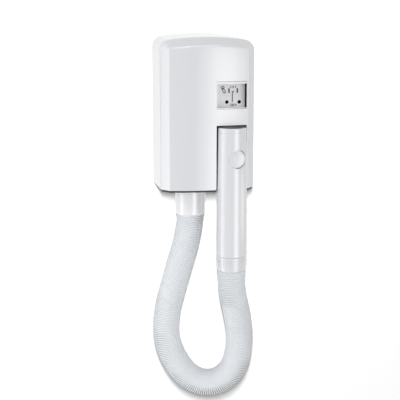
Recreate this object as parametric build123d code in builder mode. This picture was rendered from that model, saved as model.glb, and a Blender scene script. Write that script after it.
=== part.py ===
"""Wall-mounted hair dryer with a ribbed hose, a parked handset and a shaver socket.

Millimetres, Z up, X to the right of someone facing the unit. The wall is the plane Y = 0, the unit's
front faces -Y, and the origin is the middle of the pattern of wall screws on the wall plate's back.
"""

import os
from math import ceil, cos, pi, radians, sin, sqrt, tan

from build123d import *

os.makedirs("parts", exist_ok=True)

# Cover
half_width = 71.65
body_bottom = -116.0
body_top = 116.4
crown_radius = 370.0
top_tilt = 4.4
front_apex = -96.95
front_radius = 241.7
edge_bevel = 11.8
bevel_back_radius = 5.0
bevel_front_radius = 3.0
shoulder_radius = 16.0
cover_wall = 2.5
lip_radius = 1.5

# Intake grille under the cover's floor
grille_thickness = 2.6
grille_inset = 2.2
vent_count = 9
vent_left = 12.0
vent_pitch = 5.6
vent_width = 2.6
vent_front = -60.0
vent_back = -20.0

# Wall plate
plate_thickness = 3.0
plate_gap = 0.3
screw_x = 58.0
screw_z = 85.0
screw_hole_radius = 2.75
cable_x = -56.0
cable_z = 40.0
cable_bore_radius = 6.0
cable_hole_radius = 9.0
cover_screw_x = 57.0
cover_screw_y = -9.0
cover_screw_radius = 1.5
saddle_half_width = 24.0
saddle_depth = 24.0
saddle_zs = (60.0, -60.0)

# Handset bay and handset
handset_x = 33.0
handset_y = -95.5
bay_x = 33.4
bay_radius = 24.2
bay_wall = 2.4
bay_top = -19.3
lug_z = -45.0
lug_size = 8.0
tube_top = -30.0
tube_bottom = -216.7
nozzle_top = -22.2
nozzle_radius = 21.35
nozzle_bore = 17.9
button_z = -67.7
button_turn = 13.5
button_radius = 13.4
button_gap = 0.35
button_face = 17.6
button_travel = 2.0
well_wall = 1.6
dish_radius = 120.0
collar_bottom = -239.2

# Socket window
window_left = 8.8
window_right = 56.6
window_bottom = 5.0
window_top = 45.5
socket_face = -78.0
socket_x = 38.4
pin_z = 14.15
blade_z = 31.2
pin_spacing = 19.0
blade_spacing = 12.7
pin_radius = 2.65
slit_width = 1.5
bezel_gap = 0.5
shutter_gap = 0.2
socket_skin = 1.5
contact_depth = 9.0

# Socket transformer, control board and supply terminals
core_x = 33.0
core_y = -36.0
core_z = -70.0
core_half_width = 20.0
core_half_depth = 10.0
core_half_height = 24.0
core_leg = 6.0
core_gap = 7.0
board_face = -24.8
board_thickness = 1.6
board_left = 12.0
board_right = 52.0
board_low = 62.0
board_high = 98.0
relay_height = 15.0
can_radius = 5.5
can_height = 18.0
terminal_left = -46.0
terminal_pitch = 10.0
terminal_z = 95.0
terminal_depth = 18.0

# Blower, heater and outlet, all on one upright axis
blower_x = -21.0
blower_y = -46.0
shroud_radius = 31.0
shroud_bore = 29.0
shroud_top = 78.0
shroud_bottom = -88.0
shaft_radius = 1.5
bush_play = 0.03
guard_radius = 34.0
fan_radius = 28.0
fan_hub_radius = 10.0
fan_middle = 58.0
fan_blades = 9
motor_radius = 16.0
motor_can_wall = 1.5
motor_bottom = 10.0
motor_top = 46.0
armature_radius = 10.0
bush_radius = 4.0
magnet_bore = 11.0
vane_low = 14.0
vane_high = 38.0
vane_count = 7
heater_bottom = -86.0
heater_top = -12.0
mica_thickness = 1.2
heater_middle = -49.0
heater_coil_radius = 22.0
heater_coil_pitch = 5.5
heater_coil_turns = 9
heater_wire_radius = 0.6
outlet_radius = 21.2
outlet_bottom = -120.0
cuff_bottom = -159.0
cuff_radius = 23.7

# Hose
hose_crest = 20.75
hose_root = 20.2
hose_bore = 18.3
spigot_radius = 17.9
spigot_bore = 16.4
spigot_length = 11.0
hose_ribs = 200
hose_route = [
    (blower_x, blower_y, cuff_bottom),
    (blower_x, blower_y, -210.0),
    (-51.5, -48.5, -271.5),
    (-62.5, -53.0, -323.5),
    (-59.5, -59.0, -378.0),
    (-24.0, -66.0, -425.0),
    (13.0, -74.0, -431.0),
    (43.0, -81.5, -405.0),
    (50.0, -87.5, -349.5),
    (47.0, -93.0, -318.5),
    (handset_x, handset_y, -290.5),
    (handset_x, handset_y, collar_bottom - 0.3),
]


# Helpers
def block(x0, x1, y0, y1, z0, z1, mode=Mode.ADD):
    """Box between two corners."""
    with Locations(((x0 + x1) / 2, (y0 + y1) / 2, (z0 + z1) / 2)):
        Box(x1 - x0, y1 - y0, z1 - z0, mode=mode)


def rod(x, y, z0, z1, radius, mode=Mode.ADD):
    """Upright cylinder."""
    with Locations((x, y, (z0 + z1) / 2)):
        Cylinder(radius, z1 - z0, mode=mode)


def pin(x, z, y0, y1, radius, mode=Mode.ADD):
    """Cylinder that points straight at the wall."""
    with Locations((x, (y0 + y1) / 2, z)):
        Cylinder(radius, y1 - y0, rotation=(90, 0, 0), mode=mode)


def lathe(x, y, outline, mode=Mode.ADD):
    """Turn an outline of (radius, height) points about an upright axis."""
    with BuildSketch(Plane(origin=(x, y, 0), x_dir=(1, 0, 0), z_dir=(0, -1, 0))) as section:
        with BuildLine():
            Polyline(*outline, close=True)
        make_face()
    revolve(section.sketch, axis=Axis((x, y, 0), (0, 0, 1)), mode=mode)


def save(piece, name):
    """Label a finished piece and write its file."""
    piece.part.label = name
    export_step(piece.part, f"parts/{name}.step")


def cover_block(inset, rear):
    """The cover's shape as one solid, drawn in by inset, from its front back to rear."""
    half = half_width - inset
    radius = front_radius - inset
    centre_y = front_apex + front_radius
    side_y = centre_y - sqrt(radius**2 - half**2)
    slope = tan(radians(top_tilt))
    axis_z = body_top - crown_radius / cos(radians(top_tilt))
    with BuildPart() as shape:
        with BuildSketch(Plane.XY.offset(body_bottom + inset)):
            with BuildLine():
                Line((-half, rear), (-half, side_y))
                ThreePointArc((-half, side_y), (0, centre_y - radius), (half, side_y))
                Line((half, side_y), (half, rear))
                Line((half, rear), (-half, rear))
            make_face()
        extrude(amount=260)
        crown = Plane(origin=(0, -50, axis_z - 50 * slope), x_dir=(1, 0, 0), z_dir=(0, 1, slope))
        with Locations(crown):
            Cylinder(crown_radius - inset, 400, mode=Mode.INTERSECT)
        tall = shape.edges().filter_by(lambda e: abs(e.center().X) > half - 1 and e.length > 50)
        fillet(tall.filter_by(lambda e: e.center().Z > 60), radius=shoulder_radius - inset)
        chamfer(front_rim(shape, inset), length=edge_bevel - 0.4 * inset)
    return shape


def front_rim(shape, inset):
    """The sides and top of the front face's outline."""
    front = shape.faces().sort_by(Axis.Y)[0]
    return front.edges().filter_by(lambda e: e.center().Z > body_bottom + inset + 1)


def cut_bay(radius, low, high):
    """Cut the upright bay for the handset, which is open at the front."""
    block(bay_x - radius, bay_x + radius, -112, handset_y, low, high, mode=Mode.SUBTRACT)
    rod(bay_x, handset_y, low, high, radius, mode=Mode.SUBTRACT)


def cut_floor(low, high):
    """Cut the holes for the cuff, the air and the cover's screws."""
    rod(blower_x, blower_y, low, high, cuff_radius + 0.5, mode=Mode.SUBTRACT)
    for step in range(vent_count):
        vent_x = vent_left + vent_pitch * step
        block(vent_x, vent_x + vent_width, vent_front, vent_back, low, high, mode=Mode.SUBTRACT)
    for side in (-1, 1):
        rod(side * cover_screw_x, cover_screw_y, low, high, 2.0, mode=Mode.SUBTRACT)


# Cover, whose bevel and lower lip have softened edges
outer_shape = cover_block(0, 0)
cavity_shape = cover_block(cover_wall, 1)
with BuildPart() as front_cover:
    add(outer_shape.part)
    bevel_back = front_cover.edges().filter_by(lambda e: -86 < e.center().Y < -73 and e.length > 20)
    fillet(bevel_back, radius=bevel_back_radius)
    fillet(front_rim(front_cover, 0), radius=bevel_front_radius)
    lip = front_cover.edges().filter_by(lambda e: e.center().Z < body_bottom + 0.1 and e.center().Y < -10)
    fillet(lip, radius=lip_radius)
    add(cavity_shape.part, mode=Mode.SUBTRACT)
    block(window_left, window_right, -110, -70, window_bottom, window_top, mode=Mode.SUBTRACT)
    cut_bay(bay_radius, body_bottom - 1, bay_top)
    cut_floor(body_bottom - 1, body_bottom + 5)
save(front_cover, "front_cover")

# Black grille under the floor, held by the cover's screws
grille_bottom = body_bottom - grille_thickness
grille_shape = cover_block(grille_inset, -1)
with BuildPart() as intake_grille:
    with Locations((0, 0, -grille_inset - grille_thickness)):
        add(grille_shape.part)
    block(-80, 80, -110, 1, grille_bottom, body_bottom, mode=Mode.INTERSECT)
    cut_bay(bay_radius, grille_bottom - 1, body_bottom + 1)
    cut_floor(grille_bottom - 1, body_bottom + 1)
save(intake_grille, "intake_grille")

# Wall plate with saddles for the blower, posts for the board and bosses for the cover's screws
plate_shape = cover_block(cover_wall + plate_gap, 0)
plate_floor = body_bottom + cover_wall + plate_gap
with BuildPart() as wall_plate:
    add(plate_shape.part)
    block(-80, 80, -plate_thickness, 1, -130, 130, mode=Mode.INTERSECT)
    for saddle_z in saddle_zs:
        block(blower_x - saddle_half_width, blower_x + saddle_half_width, -saddle_depth, -2,
              saddle_z - 2.5, saddle_z + 2.5)
    rod(blower_x, blower_y, -70, 70, shroud_radius, mode=Mode.SUBTRACT)
    for side in (-1, 1):
        boss_x = side * cover_screw_x
        block(boss_x - 6, boss_x + 6, -15, -2, plate_floor, plate_floor + 12)
        rod(boss_x, cover_screw_y, plate_floor - 1, plate_floor + 10, cover_screw_radius, mode=Mode.SUBTRACT)
    for post_x in (board_left + 4, board_right - 4):
        for post_z in (board_low + 4, board_high - 4):
            pin(post_x, post_z, board_face + board_thickness, -2, 3)
    for hole_x in (-screw_x, screw_x):
        for hole_z in (-screw_z, screw_z):
            pin(hole_x, hole_z, -5, 1, screw_hole_radius, mode=Mode.SUBTRACT)
    pin(cable_x, cable_z, -5, 1, cable_hole_radius, mode=Mode.SUBTRACT)
save(wall_plate, "wall_plate")

with BuildPart() as cable_grommet:
    pin(cable_x, cable_z, -plate_thickness, 0, cable_hole_radius)
    pin(cable_x, cable_z, -5.5, -plate_thickness, cable_hole_radius + 2.4)
    pin(cable_x, cable_z, -6, 1, cable_bore_radius, mode=Mode.SUBTRACT)
save(cable_grommet, "cable_grommet")

with BuildPart() as cover_screws:
    for side in (-1, 1):
        shank_x = side * cover_screw_x
        rod(shank_x, cover_screw_y, grille_bottom, plate_floor + 9, cover_screw_radius)
        rod(shank_x, cover_screw_y, grille_bottom - 2.2, grille_bottom, 3.5)
        slot_low = grille_bottom - 3
        block(shank_x - 4, shank_x + 4, cover_screw_y - 0.5, cover_screw_y + 0.5,
              slot_low, slot_low + 1.8, mode=Mode.SUBTRACT)
save(cover_screws, "cover_screws")

# Cradle that lines the handset bay, with a window that the handset's lug hangs in
with BuildPart() as handset_cradle:
    outer = bay_radius + bay_wall
    rod(bay_x, handset_y, body_bottom, bay_top + bay_wall, outer)
    block(bay_x - outer, bay_x + outer, -110, handset_y, body_bottom, bay_top + bay_wall)
    cut_bay(bay_radius, body_bottom - 1, bay_top)
    add(cavity_shape.part, mode=Mode.INTERSECT)
    pocket = lug_size / 2 + 0.4
    block(handset_x - pocket, handset_x + pocket, -80, -60, lug_z - pocket, lug_z + pocket,
          mode=Mode.SUBTRACT)
save(handset_cradle, "handset_cradle")

with BuildPart() as reed_switch:
    reed_y = handset_y + bay_radius + bay_wall
    block(handset_x - 3, handset_x + 3, reed_y, reed_y + 4, lug_z - 16, lug_z - 5)
save(reed_switch, "reed_switch")

# Shaver socket behind its window, with a dark slot at the right for its shutter
with BuildPart() as socket_bezel:
    block(window_left + 0.1, window_right - shutter_gap, -110, socket_face,
          window_bottom + bezel_gap, window_top - bezel_gap)
    add(outer_shape.part, mode=Mode.INTERSECT)
    block(window_left + 1.0, window_right, -112, socket_face + 1,
          window_bottom + 1.6, window_top - 3.4, mode=Mode.SUBTRACT)
save(socket_bezel, "socket_bezel")

body_front = socket_face + socket_skin
with BuildPart() as socket_plate:
    block(window_left + 0.1, window_right - shutter_gap, socket_face, body_front,
          window_bottom + 0.1, window_top - 0.1)
    for side in (-1, 1):
        pin(socket_x + side * pin_spacing / 2, pin_z, socket_face - 1, body_front + 1,
            pin_radius, mode=Mode.SUBTRACT)
        blade_x = socket_x + side * blade_spacing / 2
        block(blade_x - 1.1, blade_x + 1.1, socket_face - 1, body_front + 1,
              blade_z - 3.4, blade_z + 3.4, mode=Mode.SUBTRACT)
    slit_left = socket_x - 1.9
    slit_top = blade_z - 0.9
    block(slit_left, slit_left + slit_width, socket_face - 1, body_front + 1,
          pin_z + 0.4, slit_top, mode=Mode.SUBTRACT)
    block(slit_left, slit_left + 3.0, socket_face - 1, body_front + 1,
          slit_top - slit_width, slit_top, mode=Mode.SUBTRACT)
save(socket_plate, "socket_plate")

with BuildPart() as socket_body:
    block(14, 55, body_front, body_front + 23, 8, 42)
    for side in (-1, 1):
        pin(socket_x + side * pin_spacing / 2, pin_z, body_front - 1, body_front + 20, 3.6,
            mode=Mode.SUBTRACT)
        blade_x = socket_x + side * blade_spacing / 2
        block(blade_x - 2.0, blade_x + 2.0, body_front - 1, body_front + 20,
              blade_z - 4.2, blade_z + 4.2, mode=Mode.SUBTRACT)
save(socket_body, "socket_body")

with BuildPart() as socket_contacts:
    contact_front = body_front + contact_depth
    contact_back = body_front + 20
    for side in (-1, 1):
        sleeve_x = socket_x + side * pin_spacing / 2
        pin(sleeve_x, pin_z, contact_front, contact_back, 3.6)
        pin(sleeve_x, pin_z, contact_front - 1, contact_back - 2, 2.7, mode=Mode.SUBTRACT)
        blade_x = socket_x + side * blade_spacing / 2
        block(blade_x - 2.0, blade_x + 2.0, contact_front, contact_back, blade_z - 4.0, blade_z + 4.0)
        block(blade_x - 1.2, blade_x + 1.2, contact_front - 1, contact_back - 2,
              blade_z - 5, blade_z + 5, mode=Mode.SUBTRACT)
save(socket_contacts, "socket_contacts")

# Isolating transformer for the socket, behind the handset bay
with BuildPart() as transformer_core:
    block(core_x - core_half_width, core_x + core_half_width, core_y - core_half_depth,
          core_y + core_half_depth, core_z - core_half_height, core_z + core_half_height)
    for side in (-1, 1):
        gap_x = core_x + side * (core_leg + core_gap / 2)
        block(gap_x - core_gap / 2, gap_x + core_gap / 2, core_y - 11, core_y + 11,
              core_z - core_half_height + 7, core_z + core_half_height - 7, mode=Mode.SUBTRACT)
save(transformer_core, "transformer_core")

with BuildPart() as transformer_coil:
    coil_half_width = core_leg + core_gap - 0.4
    coil_half_height = core_half_height - 7.4
    block(core_x - coil_half_width, core_x + coil_half_width, core_y - 18, core_y + 18,
          core_z - coil_half_height, core_z + coil_half_height)
    block(core_x - core_leg - 0.2, core_x + core_leg + 0.2, core_y - core_half_depth - 0.2,
          core_y + core_half_depth + 0.2, core_z - 18, core_z + 18, mode=Mode.SUBTRACT)
save(transformer_coil, "transformer_coil")

with BuildPart() as transformer_feet:
    for side in (-1, 1):
        foot_z = core_z + side * (core_half_height - 3)
        block(core_x - core_half_width, core_x + core_half_width, core_y + core_half_depth,
              -plate_thickness, foot_z - 3, foot_z + 3)
save(transformer_feet, "transformer_feet")

# Control board and supply terminals
with BuildPart() as control_board:
    block(board_left, board_right, board_face, board_face + board_thickness, board_low, board_high)
save(control_board, "control_board")

with BuildPart() as board_relay:
    block(board_left + 4, board_left + 23, board_face - relay_height, board_face,
          board_low + 6, board_low + 22)
save(board_relay, "board_relay")

with BuildPart() as board_capacitor:
    can_x = board_right - 8
    can_z = board_low + 16
    can_end = board_face - can_height
    pin(can_x, can_z, can_end, board_face, can_radius)
    pin(can_x, can_z, can_end - 1, can_end + 0.6, can_radius - 1.3, mode=Mode.SUBTRACT)
save(board_capacitor, "board_capacitor")

terminal_xs = [terminal_left + terminal_pitch * way for way in range(3)]
with BuildPart() as terminal_block:
    block(terminal_xs[0] - 6, terminal_xs[-1] + 6, -terminal_depth, -plate_thickness,
          terminal_z - 7, terminal_z + 7)
    for terminal_x in terminal_xs:
        pin(terminal_x, terminal_z, -terminal_depth - 1, -9, 3.0, mode=Mode.SUBTRACT)
        rod(terminal_x, -6.5, terminal_z - 8, terminal_z + 8, 2.0, mode=Mode.SUBTRACT)
save(terminal_block, "terminal_block")

with BuildPart() as terminal_screws:
    for terminal_x in terminal_xs:
        pin(terminal_x, terminal_z, -15, -9, 2.8)
        block(terminal_x - 3, terminal_x + 3, -16, -14.2, terminal_z - 0.4, terminal_z + 0.4,
              mode=Mode.SUBTRACT)
save(terminal_screws, "terminal_screws")

# Blower: shroud, guard, fan, motor and the vanes that hold the motor
with BuildPart() as blower_shroud:
    lathe(blower_x, blower_y, [
        (shroud_bore, shroud_bottom), (shroud_radius, shroud_bottom), (shroud_radius, shroud_top - 8),
        (guard_radius, shroud_top - 2), (guard_radius, shroud_top), (guard_radius - 2, shroud_top),
        (shroud_bore, shroud_top - 8)])
save(blower_shroud, "blower_shroud")

with BuildPart() as intake_guard:
    guard_top = shroud_top + 2.5
    lathe(blower_x, blower_y, [
        (guard_radius - 3, shroud_top), (guard_radius, shroud_top),
        (guard_radius, guard_top), (guard_radius - 3, guard_top)])
    for bar in range(6):
        turn = bar * 30
        with Locations(Location((blower_x, blower_y, shroud_top + 1.4), (0, 0, turn))):
            Box(2 * guard_radius - 5, 1.6, 2.0)
    rod(blower_x, blower_y, shroud_top + 0.4, shroud_top + 2.4, 7)
save(intake_guard, "intake_guard")

with BuildPart() as fan_wheel:
    rod(blower_x, blower_y, fan_middle - 8, fan_middle + 8, fan_hub_radius)
    for blade in range(fan_blades):
        turn = blade * 360 / fan_blades
        with Locations(Location((blower_x, blower_y, fan_middle), (0, 0, turn))):
            with Locations(Location((fan_hub_radius + 8.5, 0, 0), (40, 0, 0))):
                Box(21, 1.4, 15)
    rod(blower_x, blower_y, 40, 80, fan_radius, mode=Mode.INTERSECT)
    rod(blower_x, blower_y, 40, 80, shaft_radius, mode=Mode.SUBTRACT)
save(fan_wheel, "fan_wheel")

with BuildPart() as motor_shaft:
    rod(blower_x, blower_y, motor_bottom - 6, fan_middle + 9, shaft_radius)
save(motor_shaft, "motor_shaft")

with BuildPart() as motor_armature:
    rod(blower_x, blower_y, motor_bottom + 6, motor_top - 8, armature_radius)
    rod(blower_x, blower_y, motor_bottom, motor_top, shaft_radius, mode=Mode.SUBTRACT)
    for slot in range(7):
        turn = slot * 360 / 7
        with Locations(Location((blower_x, blower_y, (motor_bottom + motor_top) / 2), (0, 0, turn))):
            with Locations((armature_radius - 1.5, 0, 0)):
                Box(5, 1.6, 40, mode=Mode.SUBTRACT)
save(motor_armature, "motor_armature")

with BuildPart() as motor_magnets:
    magnet_low = motor_bottom + 4
    magnet_high = motor_top - 6
    rod(blower_x, blower_y, magnet_low, magnet_high, motor_radius - motor_can_wall)
    rod(blower_x, blower_y, magnet_low - 1, magnet_high + 1, magnet_bore, mode=Mode.SUBTRACT)
    block(blower_x - 20, blower_x + 20, blower_y - 4, blower_y + 4, magnet_low - 1, magnet_high + 1,
          mode=Mode.SUBTRACT)
save(motor_magnets, "motor_magnets")

with BuildPart() as motor_can:
    can_bore = motor_radius - motor_can_wall
    lathe(blower_x, blower_y, [
        (can_bore, motor_bottom), (motor_radius, motor_bottom), (motor_radius, motor_top),
        (bush_radius, motor_top), (bush_radius, motor_top - 1.6), (can_bore, motor_top - 1.6)])
save(motor_can, "motor_can")

with BuildPart() as motor_end_cap:
    lathe(blower_x, blower_y, [
        (bush_radius, motor_bottom - 4), (motor_radius - 3, motor_bottom - 4),
        (motor_radius, motor_bottom - 2), (motor_radius, motor_bottom), (bush_radius, motor_bottom)])
save(motor_end_cap, "motor_end_cap")

with BuildPart() as motor_bushes:
    for bush_low, bush_high in ((motor_bottom - 4, motor_bottom + 1), (motor_top - 3.5, motor_top + 1)):
        rod(blower_x, blower_y, bush_low, bush_high, bush_radius)
        rod(blower_x, blower_y, bush_low - 1, bush_high + 1, shaft_radius + bush_play, mode=Mode.SUBTRACT)
save(motor_bushes, "motor_bushes")

with BuildPart() as stator_vanes:
    for ring_inner, ring_outer in ((motor_radius, motor_radius + 1.6), (shroud_bore - 1.4, shroud_bore)):
        lathe(blower_x, blower_y, [
            (ring_inner, vane_low), (ring_outer, vane_low), (ring_outer, vane_high), (ring_inner, vane_high)])
    vane_span = shroud_bore - motor_radius - 2.4
    vane_middle = (shroud_bore + motor_radius + 0.2) / 2
    for vane in range(vane_count):
        turn = vane * 360 / vane_count
        with Locations(Location((blower_x, blower_y, (vane_low + vane_high) / 2), (0, 0, turn))):
            with Locations(Location((vane_middle, 0, 0), (-12, 0, 0))):
                Box(vane_span, 1.3, vane_high - vane_low - 2)
save(stator_vanes, "stator_vanes")

# Heater below the motor
with BuildPart() as heater_tube:
    tube_bore = shroud_bore - 0.9
    lathe(blower_x, blower_y, [
        (tube_bore, heater_bottom), (shroud_bore, heater_bottom),
        (shroud_bore, heater_top), (tube_bore, heater_top)])
save(heater_tube, "heater_tube")

with BuildPart() as heater_cross:
    for turn in (0, 90):
        with Locations(Location((blower_x, blower_y, heater_middle), (0, 0, turn))):
            Box(2 * heater_coil_radius - 2, mica_thickness, 70)
        for end_z in (heater_top - 5, heater_bottom + 5):
            with Locations(Location((blower_x, blower_y, end_z), (0, 0, turn))):
                Box(2 * shroud_bore - 2, mica_thickness, 6)
save(heater_cross, "heater_cross")

with BuildPart() as heater_coil:
    coil_height = heater_coil_pitch * heater_coil_turns
    coil_foot = (blower_x, blower_y, heater_middle - coil_height / 2)
    with BuildLine() as coil_line:
        Helix(heater_coil_pitch, coil_height, heater_coil_radius, center=coil_foot)
    with BuildSketch(Plane(origin=coil_line.line @ 0, z_dir=coil_line.line % 0)):
        Circle(heater_wire_radius)
    sweep(path=coil_line.line, is_frenet=True)
save(heater_coil, "heater_coil")

with BuildPart() as thermal_cutout:
    mica_half = mica_thickness / 2
    block(blower_x + mica_half, blower_x + mica_half + 8, blower_y + mica_half, blower_y + mica_half + 6,
          heater_middle + 9, heater_middle + 23)
save(thermal_cutout, "thermal_cutout")

with BuildPart() as outlet_funnel:
    lathe(blower_x, blower_y, [
        (shroud_bore, shroud_bottom), (shroud_radius, shroud_bottom), (shroud_radius, -92),
        (outlet_radius, -108), (outlet_radius, outlet_bottom), (outlet_radius - 1.8, outlet_bottom),
        (outlet_radius - 1.8, -107.2), (shroud_bore, -91)])
save(outlet_funnel, "outlet_funnel")

# Cuff under the unit that carries the hose
with BuildPart() as hose_cuff:
    ledge = body_bottom + cover_wall
    spigot_end = cuff_bottom - spigot_length
    lathe(blower_x, blower_y, [
        (21.3, ledge + 2), (27, ledge + 2), (27, ledge), (cuff_radius + 0.2, ledge),
        (cuff_radius, body_bottom - 1), (22.3, cuff_bottom + 1.2), (21.6, cuff_bottom),
        (spigot_radius, cuff_bottom), (spigot_radius, spigot_end), (spigot_bore, spigot_end),
        (spigot_bore, cuff_bottom + 6), (20.2, cuff_bottom + 14), (21.3, -124)])
save(hose_cuff, "hose_cuff")

# Ribbed hose: one line of straight runs and arcs, four rings to a rib, and a plain bore
def bend_radii(route, straight):
    """Largest arc at each corner of a route that leaves a straight stretch at both ends."""
    points = [Vector(*point) for point in route]
    radii = []
    for i in range(1, len(points) - 1):
        before = points[i] - points[i - 1]
        after = points[i + 1] - points[i]
        reach = 0.45 * min(before.length, after.length)
        if i == 1:
            reach = min(reach, before.length - straight)
        if i == len(points) - 2:
            reach = min(reach, after.length - straight)
        radii.append(reach / tan(radians(before.get_angle(after) / 2)))
    return radii


hose_radii = bend_radii(hose_route, 2 * hose_crest)
with BuildLine() as hose_line:
    FilletPolyline(*hose_route, radius=hose_radii)
hose_path = hose_line.wires()[0]
hose_length = hose_path.length
rib_pitch = hose_length / hose_ribs
rib_steps = [(0.0, hose_root), (0.22, hose_crest), (0.56, hose_crest), (0.78, hose_root)]
ring_stations = []
for rib in range(hose_ribs):
    for share, ring_radius in rib_steps:
        ring_stations.append(((rib + share) / hose_ribs, ring_radius))
ring_stations.append((1.0, hose_root))
with BuildPart() as hose:
    rings = []
    for station, ring_radius in ring_stations:
        ring_plane = Plane(origin=hose_path @ station, x_dir=(0, 1, 0), z_dir=hose_path % station)
        with BuildSketch(ring_plane) as ring:
            Circle(ring_radius)
        rings.append(ring.sketch.faces()[0])
    loft(rings, ruled=True)
    with BuildSketch(Plane(origin=hose_path @ 0, x_dir=(0, 1, 0), z_dir=hose_path % 0)) as bore_ring:
        Circle(hose_bore)
    sweep(bore_ring.sketch, path=hose_path, mode=Mode.SUBTRACT)
save(hose, "hose")
samples = ceil(hose_length / 4)
line_points = [hose_path @ (i / samples) for i in range(samples + 1)]
least_gap = min(
    (line_points[i] - line_points[j]).length - 2 * hose_crest
    for i in range(samples + 1)
    for j in range(i)
    if (i - j) * hose_length / samples > pi * hose_crest * 2
)
mean_square = sum(
    (a**2 + a * b + b**2) / 3 * (end - start)
    for (start, a), (end, b) in zip(rib_steps, rib_steps[1:] + [(1.0, hose_root)])
)
section = pi * (mean_square - hose_bore**2)
print("hose bend radii", [round(radius, 1) for radius in hose_radii])
print(f"hose length {hose_length:.1f}, rib pitch {rib_pitch:.2f}")
print(f"hose least gap to itself {least_gap:.1f}")
print(f"hose volume {hose.part.volume:.0f}, section times length {section * hose_length:.0f}")

# Handset: tube with its lug, nozzle ring, grille, button and the collar that the hose turns in
button_out = (sin(radians(button_turn)), -cos(radians(button_turn)), 0)
button_plane = Plane(origin=(handset_x, handset_y, button_z), x_dir=(0, 0, 1), z_dir=button_out)


def across_handset(near, far, radius, mode=Mode.ADD):
    """Cylinder along the button's way, between two distances from the handset's axis."""
    with Locations(button_plane.offset((near + far) / 2)):
        Cylinder(radius, far - near, mode=mode)


tube_outline = [
    (19.2, tube_top), (nozzle_radius, tube_top), (22.35, -116), (23.1, -190), (23.2, -215.5),
    (22.6, tube_bottom), (19.5, tube_bottom), (19.5, -214), (20.9, -214), (20.9, -190), (20.2, -116)]
with BuildPart() as button_well:
    across_handset(11.9, 30, button_radius + button_gap + well_wall)
    lathe(handset_x, handset_y, [(0, tube_top - 1), tube_outline[1], tube_outline[2], (0, -116)],
          mode=Mode.INTERSECT)
with BuildPart() as handset_tube:
    lathe(handset_x, handset_y, tube_outline)
    add(button_well.part)
    lug_half = lug_size / 2
    block(handset_x - lug_half, handset_x + lug_half, handset_y + 20.5, handset_y + 25.6,
          lug_z - lug_half, lug_z + lug_half)
    across_handset(5, 30, button_radius + button_gap, mode=Mode.SUBTRACT)
    pin(handset_x, lug_z, handset_y + 22, handset_y + 27, 2.6, mode=Mode.SUBTRACT)
save(handset_tube, "handset_tube")

with BuildPart() as handset_magnet:
    pin(handset_x, lug_z, handset_y + 22, handset_y + 25.6, 2.6)
save(handset_magnet, "handset_magnet")

with BuildPart() as nozzle_ring:
    lathe(handset_x, handset_y, [
        (19.0, -34), (19.0, tube_top), (nozzle_radius, tube_top), (nozzle_radius, tube_top + 0.6),
        (20.9, tube_top + 0.8), (20.9, tube_top + 1.4), (21.25, tube_top + 1.6),
        (21.1, nozzle_top - 1.4), (20.6, nozzle_top - 0.4), (19.9, nozzle_top), (18.6, nozzle_top),
        (nozzle_bore, nozzle_top - 1.2), (nozzle_bore, -34)])
save(nozzle_ring, "nozzle_ring")

with BuildPart() as nozzle_grille:
    for ring_outer, ring_inner in ((18.9, 16.6), (12.4, 11.2), (6.6, 5.4)):
        rod(handset_x, handset_y, -36.5, -34, ring_outer)
        rod(handset_x, handset_y, -37, -33, ring_inner, mode=Mode.SUBTRACT)
    for bar in range(4):
        with Locations(Location((handset_x, handset_y, -35.25), (0, 0, bar * 45))):
            Box(35, 1.3, 2.5)
save(nozzle_grille, "nozzle_grille")

with BuildPart() as push_button:
    across_handset(11.5, button_face, button_radius)
    press_line = Axis(button_plane.origin, button_out)
    fillet(push_button.edges().filter_by(GeomType.CIRCLE).sort_by(press_line)[-1], radius=0.7)
    with Locations(button_plane.offset(button_face - 0.5 + dish_radius)):
        Sphere(dish_radius, mode=Mode.SUBTRACT)
    across_handset(9.5, 11.5, 14.6)
    across_handset(9, 12, 6.0, mode=Mode.SUBTRACT)
save(push_button, "push_button")

spring_radius = 4.2
with BuildPart() as button_spring:
    spring_foot = button_plane.offset(5.1).origin
    with BuildLine() as spring_line:
        Helix(1.5, 6.0, spring_radius, center=spring_foot, direction=button_out)
    with BuildSketch(Plane(origin=spring_line.line @ 0, z_dir=spring_line.line % 0)):
        Circle(0.35)
    sweep(path=spring_line.line, is_frenet=True)
save(button_spring, "button_spring")

with BuildPart() as switch_bracket:
    with Locations(button_plane.offset(3.5)):
        Box(40, 46, 2)
    rod(handset_x, handset_y, -100, -40, 19.3, mode=Mode.INTERSECT)
save(switch_bracket, "switch_bracket")

with BuildPart() as button_switch:
    switch_low = 4.5
    switch_high = 9.5 - button_travel - 0.4
    with Locations(button_plane.offset((switch_low + switch_high) / 2)):
        with Locations((-12, 0, 0)):
            Box(6, 12, switch_high - switch_low)
save(button_switch, "button_switch")

with BuildPart() as handset_collar:
    spigot_end = collar_bottom - spigot_length
    lathe(handset_x, handset_y, [
        (16.9, -210), (20.4, -210), (20.4, -213.6), (19.1, -213.6), (19.1, tube_bottom - 0.3),
        (22.3, tube_bottom - 0.3), (22.5, tube_bottom - 0.9), (22.1, -231), (21.6, -238),
        (21.2, collar_bottom), (spigot_radius, collar_bottom), (spigot_radius, spigot_end),
        (spigot_bore, spigot_end), (spigot_bore, -212)])
    for groove in range(4):
        groove_z = -221.0 - 3.0 * groove
        lathe(handset_x, handset_y, [
            (21.9, groove_z), (23.5, groove_z), (23.5, groove_z - 0.7), (21.9, groove_z - 0.7)],
            mode=Mode.SUBTRACT)
save(handset_collar, "handset_collar")
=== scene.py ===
"""Looks of a wall-mounted hair dryer with a ribbed hose, a parked handset and a shaver socket.

Metres, Z up, X to the right of someone facing the unit. The wall is the plane Y = 0 and the front faces -Y.
"""

from math import cos, pi, radians, sin

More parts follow.
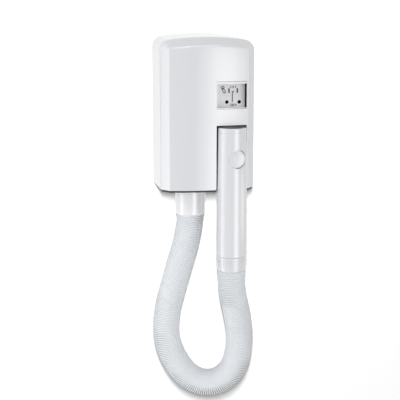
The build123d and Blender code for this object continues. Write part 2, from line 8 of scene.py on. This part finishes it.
import bpy
import numpy as np
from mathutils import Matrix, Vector


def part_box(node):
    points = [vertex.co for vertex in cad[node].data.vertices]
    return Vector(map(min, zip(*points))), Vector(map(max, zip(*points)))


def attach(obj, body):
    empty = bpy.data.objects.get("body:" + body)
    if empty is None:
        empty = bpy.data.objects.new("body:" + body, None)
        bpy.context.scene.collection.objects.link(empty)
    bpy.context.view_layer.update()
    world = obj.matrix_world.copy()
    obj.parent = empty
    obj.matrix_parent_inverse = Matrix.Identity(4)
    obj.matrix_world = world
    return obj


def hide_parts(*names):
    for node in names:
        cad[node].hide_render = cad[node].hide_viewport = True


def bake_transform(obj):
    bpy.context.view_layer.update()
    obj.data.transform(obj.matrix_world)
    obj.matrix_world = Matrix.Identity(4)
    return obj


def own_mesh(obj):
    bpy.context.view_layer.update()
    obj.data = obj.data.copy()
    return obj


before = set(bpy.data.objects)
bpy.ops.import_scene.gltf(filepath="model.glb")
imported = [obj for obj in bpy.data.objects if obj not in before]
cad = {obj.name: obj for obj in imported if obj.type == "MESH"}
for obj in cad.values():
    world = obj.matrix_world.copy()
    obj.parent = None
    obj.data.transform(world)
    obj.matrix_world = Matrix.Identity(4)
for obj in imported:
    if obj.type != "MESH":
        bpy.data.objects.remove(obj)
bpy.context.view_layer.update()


# Wall plate
# The unit hangs on a flat plate of grey polypropylene, moulded with saddles and posts and
# screwed to the wall through four plain holes. Its tooling leaves a fine matt grain.
clouds_per_metre = 33.0


def add_node(material, kind, inputs=None, **settings):
    """Add a node, set its options, and fill its inputs with numbers or with other nodes' outputs."""
    made = material.node_tree.nodes.new("ShaderNode" + kind)
    for option, value in settings.items():
        setattr(made, option, value)
    for socket, value in (inputs or {}).items():
        if isinstance(value, bpy.types.NodeSocket):
            material.node_tree.links.new(value, made.inputs[socket])
        else:
            made.inputs[socket].default_value = value
    return made


def new_finish(name, **constants):
    """A material with one shader, whose unchanging values are set on its own sockets."""
    material = bpy.data.materials.new(name)
    material.use_nodes = True
    shader = material.node_tree.nodes["Principled BSDF"]
    for socket, value in constants.items():
        shader.inputs[socket.replace("_", " ")].default_value = value
    return material, shader


def own_place(material):
    """Each point's place in the piece's own coordinates, in metres."""
    return add_node(material, "TexCoord").outputs["Object"]


def noise(material, place, per_metre, detail):
    """Soft random values from 0 to 1, so many waves to the metre, with finer ones for each step of detail."""
    inputs = {"Vector": place, "Scale": per_metre, "Detail": detail}
    return add_node(material, "TexNoise", inputs).outputs["Fac"]


def two_tones(material, shader, amount, dark, pale):
    """Colour that runs from dark to pale with an amount from 0 to 1."""
    ramp = add_node(material, "ValToRGB", {"Fac": amount})
    ramp.color_ramp.elements[0].color = (*dark, 1)
    ramp.color_ramp.elements[1].color = (*pale, 1)
    material.node_tree.links.new(ramp.outputs["Color"], shader.inputs["Base Color"])


def uneven_gloss(material, shader, amount, low, high):
    """Roughness that wanders between low and high."""
    spread = add_node(material, "MapRange", {"Value": amount, "To Min": low, "To Max": high})
    material.node_tree.links.new(spread.outputs["Result"], shader.inputs["Roughness"])


def raised(material, shader, height, depth):
    """Bump of a real depth in metres."""
    bump = add_node(material, "Bump", {"Height": height, "Distance": depth, "Strength": 1.0})
    material.node_tree.links.new(bump.outputs["Normal"], shader.inputs["Normal"])


def shade(colour, factor):
    """A colour made darker or paler by a factor."""
    return tuple(min(1.0, channel * factor) for channel in colour)


def moulded_plastic(name, colour, roughness, grain, depth, cloud=0.05, **constants):
    """Moulded plastic: wide faint clouds of tone and gloss, and a skin grain of a given width and depth."""
    material, shader = new_finish(name, **constants)
    place = own_place(material)
    clouds = noise(material, place, clouds_per_metre, 3.0)
    skin = noise(material, place, 1 / grain, 2.0)
    two_tones(material, shader, clouds, shade(colour, 1 - cloud), shade(colour, 1 + cloud))
    uneven_gloss(material, shader, clouds, roughness * 0.85, roughness * 1.15)
    raised(material, shader, skin, depth)
    return material


def dress(material, *names):
    """Give solids of the frame a finish."""
    for name in names:
        cad[name].data.materials.clear()
        cad[name].data.materials.append(material)


dress(moulded_plastic("grained_grey", (0.50, 0.51, 0.53), 0.55, 0.0007, 0.00006), "wall_plate")


# Cable grommet and cover screws
# The supply comes through the wall into a soft black rubber grommet. Two zinc-plated
# screws with slotted heads hold the cover to bosses on the plate's floor.
mottles_per_metre = 220.0
scratch_stretch = (0.12, 1.0, 1.0)
scratch_depth = 0.00001


def plated_metal(name, colour, roughness, grain):
    """Plated metal: a mottled passivated tint and fine scratches stretched along X."""
    material, shader = new_finish(name, Metallic=1.0)
    place = own_place(material)
    mottle = noise(material, place, mottles_per_metre, 4.0)
    drawn = add_node(material, "Mapping", {"Vector": place, "Scale": scratch_stretch}).outputs["Vector"]
    lines = noise(material, drawn, 1 / grain, 2.0)
    two_tones(material, shader, mottle, shade(colour, 0.8), shade(colour, 1.12))
    uneven_gloss(material, shader, lines, roughness * 0.7, roughness * 1.4)
    raised(material, shader, lines, scratch_depth)
    return material


rubber = moulded_plastic("grommet_rubber", (0.03, 0.03, 0.032), 0.7, 0.0004, 0.00004, cloud=0.2)
dress(rubber, "cable_grommet")
zinc_plate = plated_metal("zinc_plate", (0.62, 0.62, 0.60), 0.35, 0.0003)
dress(zinc_plate, "cover_screws", "transformer_feet", "terminal_screws", "motor_can")


# Socket transformer, control board and supply terminals
# A small isolating transformer feeds the socket: stacked steel sheets round a copper winding.
# The board carries a relay and a capacitor, and a black terminal block takes the supply.
joint_depth = 0.15
tracks_per_metre = 120.0
track_width = 0.05
track_height = 0.00004


def layered(name, colour, pitch, axis, dark, metallic, roughness):
    """Stacked sheets or laid wire: straight bands across an axis, one pitch apart, with shadowed joints.

    The texture's bands run through 20 radians a metre at a scale of 1, so a pitch asks for pi / 10 / pitch.
    """
    material, shader = new_finish(name, Metallic=metallic, Roughness=roughness)
    laid = {"Vector": own_place(material), "Scale": 1 / (pitch * 10) * pi, "Distortion": 0.4,
            "Detail Scale": 30.0}
    bands = add_node(material, "TexWave", laid, bands_direction=axis).outputs["Fac"]
    two_tones(material, shader, bands, shade(colour, dark), colour)
    raised(material, shader, bands, pitch * joint_depth)
    return material


def board_green(name):
    """Solder mask: dark green, with paler copper tracks as the joints of a pattern of bricks."""
    material, shader = new_finish(name, Roughness=0.3)
    laid = {"Vector": own_place(material), "Scale": tracks_per_metre, "Mortar Size": track_width,
            "Color1": (0, 0, 0, 1), "Color2": (0, 0, 0, 1), "Mortar": (1, 1, 1, 1)}
    tracks = add_node(material, "TexBrick", laid).outputs["Color"]
    two_tones(material, shader, tracks, (0.02, 0.12, 0.05), (0.05, 0.25, 0.10))
    raised(material, shader, tracks, track_height)
    return material


black_moulding = moulded_plastic("black_moulding", (0.03, 0.03, 0.033), 0.4, 0.0006, 0.00005, cloud=0.15)
dress(layered("core_sheets", (0.24, 0.24, 0.26), 0.0006, "Y", 0.5, 0.9, 0.45), "transformer_core")
dress(layered("copper_winding", (0.62, 0.27, 0.12), 0.0008, "Z", 0.45, 0.9, 0.35), "transformer_coil")
dress(board_green("board_mask"), "control_board")
dress(moulded_plastic("relay_case", (0.05, 0.11, 0.34), 0.25, 0.0015, 0.00003), "board_relay")
dress(plated_metal("capacitor_can", (0.55, 0.56, 0.60), 0.3, 0.0004), "board_capacitor")
dress(black_moulding, "terminal_block", "reed_switch", "button_switch", "socket_body")


# Blower and heater
# A grey duct holds a black nine-bladed fan on a small motor, and below it a nickel-chrome coil
# on crossed mica boards, with a thermal cutout. A funnel leads the air down into the cuff.
flakes_per_metre = 380.0
flake_depth = 0.00004


def mica_board(name):
    """Pressed mica: warm flakes a few millimetres wide, darker at their edges, with a soft pearly gloss."""
    material, shader = new_finish(name)
    pressed = {"Vector": own_place(material), "Scale": flakes_per_metre}
    flakes = add_node(material, "TexVoronoi", pressed).outputs["Distance"]
    two_tones(material, shader, flakes, (0.55, 0.45, 0.30), (0.36, 0.27, 0.17))
    uneven_gloss(material, shader, flakes, 0.25, 0.6)
    raised(material, shader, flakes, flake_depth)
    return material


duct_plastic = moulded_plastic("duct_plastic", (0.22, 0.22, 0.24), 0.5, 0.0008, 0.00006, cloud=0.1)
dress(duct_plastic, "blower_shroud", "intake_guard", "stator_vanes", "outlet_funnel")
dress(moulded_plastic("fan_nylon", (0.035, 0.035, 0.04), 0.4, 0.0005, 0.00004, cloud=0.15), "fan_wheel")
ground_steel = plated_metal("ground_steel", (0.60, 0.60, 0.62), 0.25, 0.0002)
dress(ground_steel, "motor_shaft")
dress(layered("armature_sheets", (0.25, 0.25, 0.27), 0.0006, "Z", 0.5, 0.9, 0.45), "motor_armature")
ferrite = moulded_plastic("ferrite", (0.06, 0.06, 0.065), 0.6, 0.0006, 0.00006, cloud=0.2)
dress(ferrite, "motor_magnets", "handset_magnet")
dress(moulded_plastic("motor_cap", (0.66, 0.64, 0.58), 0.45, 0.0007, 0.00005), "motor_end_cap")
dress(plated_metal("dull_brass", (0.12, 0.10, 0.07), 0.6, 0.0003), "socket_contacts", "motor_bushes")
dress(mica_board("mica_board"), "heater_tube", "heater_cross")
dress(plated_metal("heater_wire", (0.36, 0.31, 0.27), 0.5, 0.0002), "heater_coil")
dress(plated_metal("cutout_case", (0.66, 0.66, 0.67), 0.3, 0.0003), "thermal_cutout")


# Front cover
# One deep shell of gloss white ABS with an arched top and a convex front, whose bevelled rim
# is softly rounded. The polished tool leaves only a very faint waviness in the gloss.
gloss_white = (0.745, 0.75, 0.773)
gloss_roughness = 0.155
gloss_cloud = 0.012
polish = {"IOR": 1.55, "Coat_Weight": 1.0, "Coat_Roughness": 0.15, "Coat_IOR": 1.55}
cover_finish = moulded_plastic("cover_gloss", gloss_white, gloss_roughness, 0.004, 0.000012,
                               cloud=gloss_cloud, **polish)
dress(cover_finish, "front_cover")


# Intake grille
# A thin black panel under the cover's floor, slotted for the air that the blower draws in.
# It is moulded with a fine spark-eroded grain, and the cover's screws hold it.
grille_black = moulded_plastic("grille_black", (0.018, 0.018, 0.02), 0.5, 0.0006, 0.00005, cloud=0.2)
dress(grille_black, "intake_grille")


# Shaver socket
# A white bezel lines the window in the cover. Behind it stands a pale grey moulded plate with
# round and flat openings and a hooked slit. Its marks are pad-printed in dark grey ink.
plate_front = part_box("socket_plate")[0][1]
ink_depth = 0.00006
ink_line = 0.0011
figure_height = 0.0042
shaver_tilt = 0.5
loop_points = 40


def on_plate(mark):
    """Make a piece a printed mark of the socket plate."""
    mark.data.materials.append(print_ink)
    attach(mark, "wall_unit")


def standing(flat, x, z):
    """Turn flat points (across, up, out) to face the front: middle at x, z, and back on the plate."""
    return np.stack([flat[:, 0] + x, plate_front - flat[:, 2], flat[:, 1] + z], 1)


def printed_figures(name, figures, x, z):
    """Plain figures, thickened by a 26th of their height, raised by the ink's depth and centred on x, z."""
    curve = bpy.data.curves.new(name, "FONT")
    curve.body = figures
    curve.size = figure_height
    curve.offset = figure_height / 26
    curve.extrude = ink_depth / 2
    holder = bpy.data.objects.new(name, curve)
    shape = bpy.data.meshes.new_from_object(holder)
    flat = np.zeros(len(shape.vertices) * 3)
    shape.vertices.foreach_get("co", flat)
    flat = flat.reshape(-1, 3)
    flat[:, :2] -= (flat[:, :2].min(0) + flat[:, :2].max(0)) / 2
    flat[:, 2] += ink_depth / 2
    shape.vertices.foreach_set("co", standing(flat, x, z).ravel())
    bpy.data.objects.remove(holder)
    bpy.data.curves.remove(curve)
    mark = bpy.data.objects.new(name, shape)
    bpy.context.scene.collection.objects.link(mark)
    on_plate(mark)


def grid_piece(name, places, around=True, along=False, capped=False):
    """A mesh over a grid of places, joined up around and along where it closes, or with flat end caps."""
    rows, sides = places.shape[:2]
    index = np.arange(rows * sides).reshape(rows, sides)
    if around:
        index = np.c_[index, index[:, :1]]
    if along:
        index = np.r_[index, index[:1]]
    corners = np.stack([index[:-1, :-1], index[:-1, 1:], index[1:, 1:], index[1:, :-1]], -1)
    faces = corners.reshape(-1, 4).tolist()
    if capped:
        faces += [index[0, sides - 1::-1].tolist(), index[-1, :sides].tolist()]
    mesh = bpy.data.meshes.new(name)
    mesh.from_pydata(places.reshape(-1, 3), [], faces)
    mesh.shade_smooth()
    piece = bpy.data.objects.new(name, mesh)
    bpy.context.scene.collection.objects.link(piece)
    return piece


def printed_loop(name, x, z, half_width, half_height, squareness):
    """A closed line of ink round a superellipse, tilted about its middle: a flat band as thick as the ink."""
    turn = np.linspace(0, 2 * pi, loop_points, endpoint=False)
    way = np.stack([np.cos(turn), np.sin(turn)], 1)
    way = np.sign(way) * np.abs(way) ** (2 / squareness)
    edges = np.array([(0, 0), (0, 1), (1, 1), (1, 0)])
    reach = np.array([half_width, half_height]) + ink_line * (edges[:, :1] - 0.5)
    flat = way[:, None] * reach[None]
    spun = np.stack([flat[..., 0] * cos(shaver_tilt) - flat[..., 1] * sin(shaver_tilt),
                     flat[..., 0] * sin(shaver_tilt) + flat[..., 1] * cos(shaver_tilt),
                     np.broadcast_to(edges[:, 1] * ink_depth, flat.shape[:2])], -1)
    on_plate(grid_piece(name, standing(spun.reshape(-1, 3), x, z).reshape(spun.shape), along=True))


print_ink = moulded_plastic("print_ink", (0.03, 0.03, 0.033), 0.5, 0.0003, 0.00001, cloud=0.15)
dress(cover_finish, "socket_bezel")
dress(moulded_plastic("socket_grey", (0.86, 0.85, 0.86), 0.35, 0.0006, 0.00003), "socket_plate")
printed_figures("low_voltage", "115 V", 0.0387, 0.0366)
printed_figures("high_voltage", "230 V", 0.0390, 0.0100)
printed_loop("shaver_head", 0.0222, 0.0359, 0.0023, 0.0016, 2.6)
printed_loop("shaver_handle", 0.0243, 0.0308, 0.0016, 0.0032, 3.5)


# Handset cradle
# The bay for the handset is lined with a darker grey satin moulding, open at the front and
# at the bottom. It shows only as the dark gap round the handset, where its dark grey is painted shade
# on top of the real shade in the gap.
dress(moulded_plastic("cradle_satin_painted_shade", (0.30, 0.30, 0.32), 0.45, 0.0008, 0.00005), "handset_cradle")


# Hose cuff and hose
# A white cuff under the cover carries a ribbed hose of pale grey vinyl, which hangs in one
# loop and turns up into the handset's collar. Its ribs open on the outside of each bend. Its grooves
# are darkened with painted shade, most where they open, and stretched crests get a painted highlight.
hose_route = [
    (-0.0210, -0.0460, -0.1590),
    (-0.0210, -0.0460, -0.1810),
    (-0.0445, -0.0470, -0.2590),
    (-0.0617, -0.0500, -0.3185),
    (-0.0607, -0.0560, -0.3685),
    (-0.0320, -0.0635, -0.4195),
    (0.0080, -0.0720, -0.4325),
    (0.0415, -0.0800, -0.4085),
    (0.0505, -0.0870, -0.3575),
    (0.0445, -0.0925, -0.3130),
    (0.0330, -0.0955, -0.2695),
    (0.0330, -0.0955, -0.2395),
]

hose_crest = 0.02075
hose_bore = 0.0183
hose_ribs = 200
rib_fullness = 0.7
rings_per_rib = 8
ring_sides = 52
bore_rings = 120
bend_rings = 4 * rings_per_rib

most_stretch = 0.6
groove_depth = 0.00055
groove_opening = 2.5
# Painted rib tones: painted shade in the grooves and a painted highlight on stretched crests
bore_tone = 0.5
crest_tone = 0.85
stretched_painted_highlight = 0.5
painted_highlight_limit = 0.3
painted_groove_shade = 0.25
painted_opened_shade = 4

blooms_per_metre = 900.0
bloom_depth = 0.00003


def smooth_line(name, points):
    """Points along a smooth line that has the given points as its control points."""
    curve = bpy.data.curves.new(name, "CURVE")
    curve.dimensions = "3D"
    curve.resolution_u = 40
    spline = curve.splines.new("NURBS")
    spline.points.add(len(points) - 1)
    spline.points.foreach_set("co", np.c_[np.array(points), np.ones(len(points))].ravel())
    spline.order_u = 3
    spline.use_endpoint_u = True
    holder = bpy.data.objects.new(name, curve)
    line = bpy.data.meshes.new_from_object(holder)
    found = np.zeros(len(line.vertices) * 3)
    line.vertices.foreach_get("co", found)
    bpy.data.meshes.remove(line)
    bpy.data.objects.remove(holder)
    bpy.data.curves.remove(curve)
    return found.reshape(-1, 3)


def along_line(points, shares):
    """Places and directions at shares of a line's length, and that length."""
    steps = np.r_[0, np.cumsum(np.linalg.norm(np.diff(points, axis=0), axis=1))]
    directions = np.gradient(points, steps, axis=0)
    places = np.stack([np.interp(shares * steps[-1], steps, points[:, i]) for i in range(3)], 1)
    turns = np.stack([np.interp(shares * steps[-1], steps, directions[:, i]) for i in range(3)], 1)
    return places, turns / np.linalg.norm(turns, axis=1)[:, None], steps[-1]


def ribbed_tube(line):
    """Rings square to the line: outside, a rounded rib for each pitch; then back inside as a plain bore.

    A bend stretches its outer side by curvature times radius, and there the grooves open and get deeper.
    Each point also gets a painted tone: painted shade in the grooves, deeper where they open, and a painted
    highlight on stretched crests. Returns the places, these painted tones, and the length.
    """
    outside = np.linspace(0, 1, hose_ribs * rings_per_rib + 1)
    shares = np.r_[outside, np.linspace(1, 0, bore_rings)]
    places, forward, length = along_line(line, shares)
    side = np.array([0.0, 1.0, 0.0]) - forward * forward[:, 1:2]
    side /= np.linalg.norm(side, axis=1)[:, None]
    up = np.cross(forward, side)
    turn = np.linspace(0, 2 * pi, ring_sides, endpoint=False)
    ring = side[:, None] * np.cos(turn)[None, :, None] + up[:, None] * np.sin(turn)[None, :, None]
    bend = np.gradient(forward[:len(outside)], outside * length, axis=0)
    window = np.ones(bend_rings) / bend_rings
    bend = np.stack([np.convolve(bend[:, i], window, mode="same") for i in range(3)], 1)
    outward = -np.einsum("ri,rsi->rs", bend, ring[:len(outside)])
    stretch = np.clip(outward * hose_crest, 0, most_stretch)
    hollow = 1 - (0.5 - 0.5 * np.cos(2 * pi * outside * hose_ribs))[:, None] ** rib_fullness
    radii = np.full(ring.shape[:2], hose_bore)
    radii[:len(outside)] = hose_crest - groove_depth * (1 + groove_opening * stretch) * hollow
    # painted shade darkens the grooves, more where they open, and a painted highlight pales stretched crests
    tone = np.full(ring.shape[:2], bore_tone)
    painted_highlight = stretched_painted_highlight * np.minimum(stretch, painted_highlight_limit)
    tone[:len(outside)] = crest_tone + painted_highlight - hollow * (painted_groove_shade + painted_opened_shade * stretch)
    return places[:, None] + radii[..., None] * ring, np.clip(tone, 0, 1), length


def hose_vinyl_painted_shade(name):
    """Soft vinyl, cool in tint, with a fine bloom, darker with painted shade in the grooves and paler with a
    painted highlight on stretched crests.
    """
    material, shader = new_finish(name)
    painted_rib_shade = add_node(material, "Attribute", attribute_name="painted_rib_shade").outputs["Fac"]
    bloom = noise(material, own_place(material), blooms_per_metre, 3.0)
    # colour from the painted rib shade: dark in the grooves, pale on stretched crests
    two_tones(material, shader, painted_rib_shade, (0.26, 0.28, 0.31), (0.94, 0.965, 0.99))
    uneven_gloss(material, shader, bloom, 0.4, 0.55)
    raised(material, shader, bloom, bloom_depth)
    return material


hose_line = smooth_line("hose_line", hose_route)
hose_places, painted_rib_tones, hose_length = ribbed_tube(hose_line)
hose = grid_piece("ribbed_hose", hose_places, along=True)
# the painted rib tones go to the hose as a point attribute
painted_rib_shade_values = hose.data.attributes.new("painted_rib_shade", "FLOAT", "POINT")
painted_rib_shade_values.data.foreach_set("value", painted_rib_tones.ravel().astype(np.float32))
hose.data.materials.append(hose_vinyl_painted_shade("hose_vinyl_painted_shade"))
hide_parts("hose")
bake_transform(hose)
# The cuff's white is paler than the cover's and handset's: painted light that makes up for the shade under
# the cover.
cuff_painted_light_finish = moulded_plastic("cuff_gloss_painted_light", (0.94, 0.945, 0.955), 0.2, 0.003, 0.00001,
                              cloud=gloss_cloud, **polish)
dress(cuff_painted_light_finish, "hose_cuff")


# Handset
# A slim gloss white tube with a separate nozzle ring round a brown grille, a flat round button
# in a well near the top, and a grooved collar at the lower end in which the hose turns.
handset_finish = moulded_plastic("handset_gloss", gloss_white, gloss_roughness, 0.003, 0.00001,
                                 cloud=gloss_cloud, **polish)
dress(handset_finish, "handset_tube", "nozzle_ring", "handset_collar")
button_finish = moulded_plastic("button_gloss", gloss_white, 0.22, 0.0008, 0.00001, cloud=0.015, **polish)
dress(button_finish, "push_button")
grille_brown = moulded_plastic("grille_brown", (0.74, 0.64, 0.54), 0.45, 0.0006, 0.00004, cloud=0.1)
dress(grille_brown, "nozzle_grille")
dress(moulded_plastic("bracket_grey", (0.40, 0.40, 0.42), 0.5, 0.0007, 0.00005), "switch_bracket")


# Button spring
# A small coil spring of bright wire stands on the switch bracket and pushes the button out.
button_turn = radians(13.5)
button_way = np.array([sin(button_turn), -cos(button_turn), 0.0])
handset_axis = np.array([0.0330, -0.0955, -0.0677])
spring_foot = handset_axis + 0.0051 * button_way
spring_radius = 0.0042
spring_pitch = 0.0015
spring_turns = 4
spring_rings = 161
wire_radius = 0.00035
wire_sides = 12


def coiled_wire():
    """Rings of a round wire along a helix that climbs spring_pitch a turn along the button's way."""
    turn = np.linspace(0, 2 * pi * spring_turns, spring_rings)[:, None]
    up = np.array([0.0, 0.0, 1.0])
    across = np.cross(button_way, up)
    outward = np.cos(turn) * up + np.sin(turn) * across
    climb = button_way * spring_pitch / (2 * pi)
    forward = (np.cos(turn) * across - np.sin(turn) * up) * spring_radius + climb
    forward /= np.linalg.norm(forward, axis=1)[:, None]
    middle = spring_foot + spring_radius * outward + climb * turn
    around = np.linspace(0, 2 * pi, wire_sides, endpoint=False)[None, :, None]
    ring = outward[:, None] * np.cos(around) + np.cross(forward, outward)[:, None] * np.sin(around)
    return middle[:, None] + wire_radius * ring


spring = grid_piece("coil_spring", coiled_wire(), capped=True)
spring.data.materials.append(ground_steel)
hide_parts("button_spring")
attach(spring, "handset")
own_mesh(spring)


# Wall and floor
# A plain white wall behind the unit runs down in a wide cove to a pale floor. Seen from
# behind it is clear, so that it never hides the back of the unit.
wall_y, wall_top = 0.004, 1.1
floor_z, floor_front = -0.95, -1.1
cove_radius = 0.3
half_width = 1.6

paint_tone = 0.45
paint_glow = 0.09
shadow_middle = (0, 0, -0.15)
shadow_edge, white_edge = 0.36, 0.6
bounce_glow = 0.42
dim_start, dim_end = 0.08, 0.24
dim_share = 0.65


def backdrop_sheet():
    """A profile of wall, quarter-round cove and floor, carried straight along X."""
    turn = np.linspace(0, pi / 2, 16)
    profile_y = np.r_[wall_y, wall_y - cove_radius + cove_radius * np.cos(turn), floor_front]
    profile_z = np.r_[wall_top, floor_z + cove_radius - cove_radius * np.sin(turn), floor_z]
    across = np.linspace(half_width, -half_width, 9)
    grid = np.zeros((len(profile_y), len(across), 3))
    grid[..., 0] = across
    grid[..., 1] = profile_y[:, None]
    grid[..., 2] = profile_z[:, None]
    return grid


def glow(material, strength):
    """An even white light from a surface, with a strength of 1 for plain white."""
    return add_node(material, "Emission", {"Color": (1, 1, 1, 1), "Strength": strength}).outputs[0]


def either(material, share, first, second):
    """The first of two shaders where a share is 0, and the second where it is 1."""
    return add_node(material, "MixShader", {0: share, 1: first, 2: second}).outputs[0]


def mirrored_ray(material, rays):
    """1 for a ray that a gloss or a clear piece sends on, and 0 for any other."""
    kinds = {0: rays["Is Glossy Ray"], 1: rays["Is Transmission Ray"]}
    return add_node(material, "Math", kinds, operation="MAXIMUM").outputs[0]


def backdrop_paint(name):
    """White paint, clear from behind.

    To the eye it is matt and takes shadows near the unit, and runs out to plain white between two distances
    from the unit's middle. In gloss and glass it is plain white. Matt pieces get an even soft light from it,
    which falls to a share of itself towards the right.
    """
    material = bpy.data.materials.new(name)
    material.use_nodes = True
    tree = material.node_tree
    tree.nodes.remove(tree.nodes["Principled BSDF"])
    rays = add_node(material, "LightPath").outputs
    place = own_place(material)
    white = glow(material, 1.0)

    paint = add_node(material, "BsdfDiffuse", {"Color": (paint_tone, paint_tone, paint_tone, 1)}).outputs[0]
    shadowed = add_node(material, "AddShader", {0: paint, 1: glow(material, paint_glow)}).outputs[0]
    away = add_node(material, "VectorMath", {0: place, 1: shadow_middle}, operation="DISTANCE")
    reach = {"Value": away.outputs["Value"], "From Min": shadow_edge, "From Max": white_edge}
    far = add_node(material, "MapRange", reach).outputs["Result"]
    seen = either(material, far, shadowed, white)

    side = add_node(material, "SeparateXYZ", {0: place}).outputs["X"]
    fall = {"Value": side, "From Min": dim_start, "From Max": dim_end, "To Min": 1, "To Max": dim_share}
    dim = add_node(material, "MapRange", fall).outputs["Result"]
    bounce = add_node(material, "Math", {0: dim, 1: bounce_glow}, operation="MULTIPLY").outputs[0]
    felt = either(material, mirrored_ray(material, rays), glow(material, bounce), white)

    front = either(material, rays["Is Camera Ray"], felt, seen)
    behind = add_node(material, "NewGeometry").outputs["Backfacing"]
    clear = add_node(material, "BsdfTransparent").outputs[0]
    surface = either(material, behind, front, clear)
    tree.links.new(surface, tree.nodes["Material Output"].inputs["Surface"])
    return material


backdrop = grid_piece("backdrop", backdrop_sheet(), around=False)
backdrop.data.materials.append(backdrop_paint("backdrop_paint"))


# Camera
# A long lens a little to the left of the unit and above it, at eye height for a wall bracket,
# with the whole loop of the hose in a square frame.
view_yaw = radians(11.553)
view_pitch = radians(10.554)
view_distance = 1.3973
view_aim = Vector((-0.00535, -0.045, -0.1394))
view_way = Vector((sin(view_yaw) * cos(view_pitch), cos(view_yaw) * cos(view_pitch), -sin(view_pitch)))
lens = bpy.data.cameras.new("camera")
lens.sensor_width = 36.0
lens.lens = 81.0
camera = bpy.data.objects.new("camera", lens)
camera.location = view_aim - view_distance * view_way
camera.rotation_euler = view_way.to_track_quat("-Z", "Y").to_euler()
bpy.context.scene.collection.objects.link(camera)
bpy.context.scene.camera = camera


# Light
# Soft studio light: tall boxes left and right, one high on the left, one overhead, two low ones, a thin
# strip far right and a small key over the lens, in an even surround. The wall has a lamp of its own
# just above the lens, which is the only one to throw shadows on it.
unit_middle = Vector((0, -0.06, -0.12))
wall_lamp_rise = 0.137
wall_lamp_power = 56.0
surround_tint = (0.98, 0.99, 1.0, 1)
surround_strength = 0.38

wall_only = bpy.data.collections.new("wall_only")
wall_only.objects.link(backdrop)
unit_only = bpy.data.collections.new("unit_only")
unit_only.objects.link(backdrop)
unit_only.collection_objects[0].light_linking.link_state = "EXCLUDE"


def flat_lamp(name, place, way, width, height, power, lit):
    """A rectangular lamp at a place, facing a way, out of the camera's sight, for one set of lit pieces."""
    lamp = bpy.data.lights.new(name, "AREA")
    lamp.shape = "RECTANGLE"
    lamp.size = width
    lamp.size_y = height
    lamp.energy = power
    holder = bpy.data.objects.new(name, lamp)
    holder.location = place
    holder.rotation_euler = way.to_track_quat("-Z", "Y").to_euler()
    holder.visible_camera = False
    holder.light_linking.receiver_collection = lit
    bpy.context.scene.collection.objects.link(holder)


def softbox(name, azimuth, elevation, distance, width, height, brightness):
    """A lamp aimed at the unit from an angle off its front; power is brightness by pi by area."""
    level = cos(radians(elevation))
    way = Vector((sin(radians(azimuth)) * level, -cos(radians(azimuth)) * level, sin(radians(elevation))))
    power = brightness * pi * width * height
    flat_lamp(name, unit_middle + distance * way, -way, width, height, power, unit_only)


softbox("left_box", -77.7, -8, 0.563, 0.34, 1.0, 0.9)
softbox("left_inner_box", -85.5, -8, 0.57, 0.18, 1.0, 0.95)
softbox("left_high_box", -78, 36, 1.0, 0.6, 0.6, 1.0)
softbox("right_box", 25, -10, 1.5, 1.27, 0.95, 0.80)
softbox("right_inner_box", 24.5, -10, 1.48, 0.82, 0.95, 0.90)
softbox("right_core_box", 24, -10, 1.46, 0.47, 0.95, 0.90)
softbox("top_box", 0, 60, 1.4, 0.9, 0.6, 2.6)
softbox("key_box", -11.5, 21, 1.9, 0.36, 0.36, 2.4)
softbox("right_strip_box", 76, -10.5, 1.2, 0.8, 0.18, 1.2)
softbox("low_left_box", -68, -50, 0.9, 0.6, 0.4, 0.75)
softbox("low_box", -5, -50, 1.0, 0.8, 0.5, 1.0)

wall_lamp_place = camera.location + Vector((0, 0, wall_lamp_rise))
flat_lamp("wall_lamp", wall_lamp_place, view_aim - wall_lamp_place, 0.05, 0.28, wall_lamp_power, wall_only)

surround = bpy.data.worlds.new("surround")
surround.use_nodes = True
sky = surround.node_tree
sky_rays = add_node(surround, "LightPath").outputs
shown_kinds = {0: sky_rays["Is Camera Ray"], 1: mirrored_ray(surround, sky_rays)}
shown = add_node(surround, "Math", shown_kinds, operation="MAXIMUM").outputs[0]
soft = add_node(surround, "Background", {"Color": surround_tint, "Strength": surround_strength}).outputs[0]
white = add_node(surround, "Background", {"Color": (1, 1, 1, 1), "Strength": 1.0}).outputs[0]
sky.links.new(either(surround, shown, soft, white), sky.nodes["World Output"].inputs["Surface"])
bpy.context.scene.world = surround
bpy.context.scene.view_settings.view_transform = "Standard"
